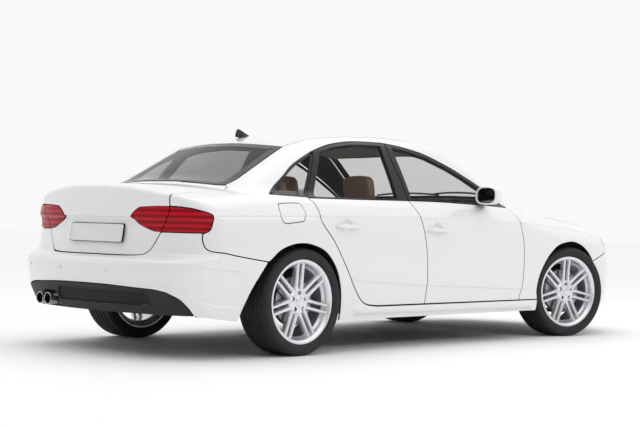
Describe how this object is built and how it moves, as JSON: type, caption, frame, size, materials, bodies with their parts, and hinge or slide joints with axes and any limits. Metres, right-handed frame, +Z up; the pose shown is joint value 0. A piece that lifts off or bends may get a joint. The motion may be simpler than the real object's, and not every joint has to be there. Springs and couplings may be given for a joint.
{
  "type": "sedan car",
  "caption": "Four-door sedan car with a long hood, sloping rear window, boot lid, alloy wheels turned slightly to the right and a hollow cabin with seats",
  "frame": {"origin": "middle of the footprint on the floor, under the middle of the bounding box", "axes": "+X to the front of the car, +Y to its left, +Z up"},
  "size_m": [4.7006, 2.108, 1.4269],
  "materials": {
    "white_paint": "gloss",
    "black_plastic": "matte",
    "gray_steel": "satin",
    "under_coat": "matte",
    "lamp_clear": "gloss",
    "lamp_red": "gloss",
    "tinted_glass": "gloss",
    "seat_leather": "satin",
    "trim_dark": "matte",
    "cast_aluminium": "satin",
    "alloy_silver": "gloss",
    "tyre_rubber": "matte",
    "disc_iron": "satin",
    "exhaust_steel": "gloss"
  },
  "bodies": {
    "body": {"floor_pan": "under_coat", "side_frames": "white_paint", "roof_panel": "white_paint", "bulkhead": "under_coat", "front_fenders": "white_paint", "front_bumper": "white_paint", "grille": "black_plastic", "headlights": "lamp_clear", "rear_bumper": "white_paint", "rear_diffuser": "black_plastic", "exhaust": "exhaust_steel", "taillights": "lamp_red", "windshield": "tinted_glass", "rear_window": "tinted_glass", "quarter_glass": "tinted_glass", "dashboard": "trim_dark", "steering_wheel": "black_plastic", "front_seats": "seat_leather", "rear_bench": "seat_leather", "centre_console": "trim_dark", "engine_block": "cast_aluminium", "front_axle": "gray_steel", "rear_axle": "gray_steel", "fuel_tank": "under_coat", "wheel_liners": "under_coat", "antenna_fin": "black_plastic", "parcel_shelf": "trim_dark"},
    "hood": {"hood": "white_paint"},
    "trunk_lid": {"trunk_lid": "white_paint", "lid_lamps": "lamp_red"},
    "front_door_left": {"front_door_left": "white_paint", "front_glass_left": "tinted_glass", "mirror_left": "white_paint"},
    "rear_door_left": {"rear_door_left": "white_paint", "rear_glass_left": "tinted_glass"},
    "knuckle_left": {"knuckle_left": "cast_aluminium"},
    "wheel_front_left": {"tyre_front_left": "tyre_rubber", "rim_front_left": "alloy_silver", "disc_front_left": "disc_iron"},
    "wheel_rear_left": {"tyre_rear_left": "tyre_rubber", "rim_rear_left": "alloy_silver", "disc_rear_left": "disc_iron"},
    "front_door_right": {"front_door_right": "white_paint", "front_glass_right": "tinted_glass", "mirror_right": "white_paint"},
    "rear_door_right": {"rear_door_right": "white_paint", "rear_glass_right": "tinted_glass"},
    "knuckle_right": {"knuckle_right": "cast_aluminium"},
    "wheel_front_right": {"tyre_front_right": "tyre_rubber", "rim_front_right": "alloy_silver", "disc_front_right": "disc_iron"},
    "wheel_rear_right": {"tyre_rear_right": "tyre_rubber", "rim_rear_right": "alloy_silver", "disc_rear_right": "disc_iron"}
  },
  "joints": [
    {"name": "steer_left", "type": "hinge", "parent": "body", "child": "knuckle_left", "pos_m": [1.4695, 0.74, 0.3305], "axis": [0, 0, 1], "range_deg": [-21.5, 48.5]},
    {"name": "wheel_front_left_spin", "type": "hinge", "parent": "knuckle_left", "child": "wheel_front_left", "pos_m": [1.4793, 0.78084, 0.3305], "axis": [0.2334, 0.9724, 0], "continuous": true},
    {"name": "wheel_rear_left_spin", "type": "hinge", "parent": "body", "child": "wheel_rear_left", "pos_m": [-1.3385, 0.7755, 0.3305], "axis": [0, 1, 0], "continuous": true},
    {"name": "front_door_left_hinge", "type": "hinge", "parent": "body", "child": "front_door_left", "pos_m": [0.828, 0.889, 0.6], "axis": [0, 0, -1], "range_deg": [0, 66]},
    {"name": "rear_door_left_hinge", "type": "hinge", "parent": "body", "child": "rear_door_left", "pos_m": [-0.228, 0.898, 0.6], "axis": [0, 0, -1], "range_deg": [0, 68]},
    {"name": "steer_right", "type": "hinge", "parent": "body", "child": "knuckle_right", "pos_m": [1.4695, -0.74, 0.3305], "axis": [0, 0, 1], "range_deg": [-21.5, 48.5]},
    {"name": "wheel_front_right_spin", "type": "hinge", "parent": "knuckle_right", "child": "wheel_front_right", "pos_m": [1.4597, -0.78084, 0.3305], "axis": [0.2334, 0.9724, 0], "continuous": true},
    {"name": "wheel_rear_right_spin", "type": "hinge", "parent": "body", "child": "wheel_rear_right", "pos_m": [-1.3385, -0.7755, 0.3305], "axis": [0, 1, 0], "continuous": true},
    {"name": "front_door_right_hinge", "type": "hinge", "parent": "body", "child": "front_door_right", "pos_m": [0.828, -0.889, 0.6], "axis": [0, 0, 1], "range_deg": [0, 66]},
    {"name": "rear_door_right_hinge", "type": "hinge", "parent": "body", "child": "rear_door_right", "pos_m": [-0.228, -0.898, 0.6], "axis": [0, 0, 1], "range_deg": [0, 68]},
    {"name": "hood_hinge", "type": "hinge", "parent": "body", "child": "hood", "pos_m": [0.88, 0, 0.985], "axis": [0, -1, 0], "range_deg": [0, 50]},
    {"name": "trunk_hinge", "type": "hinge", "parent": "body", "child": "trunk_lid", "pos_m": [-1.43, 0, 1.01], "axis": [0, 1, 0], "range_deg": [0, 75]}
  ],
  "couplings": [
    {"joint": "steer_right", "follows": "steer_left", "ratio": 1}
  ]
}
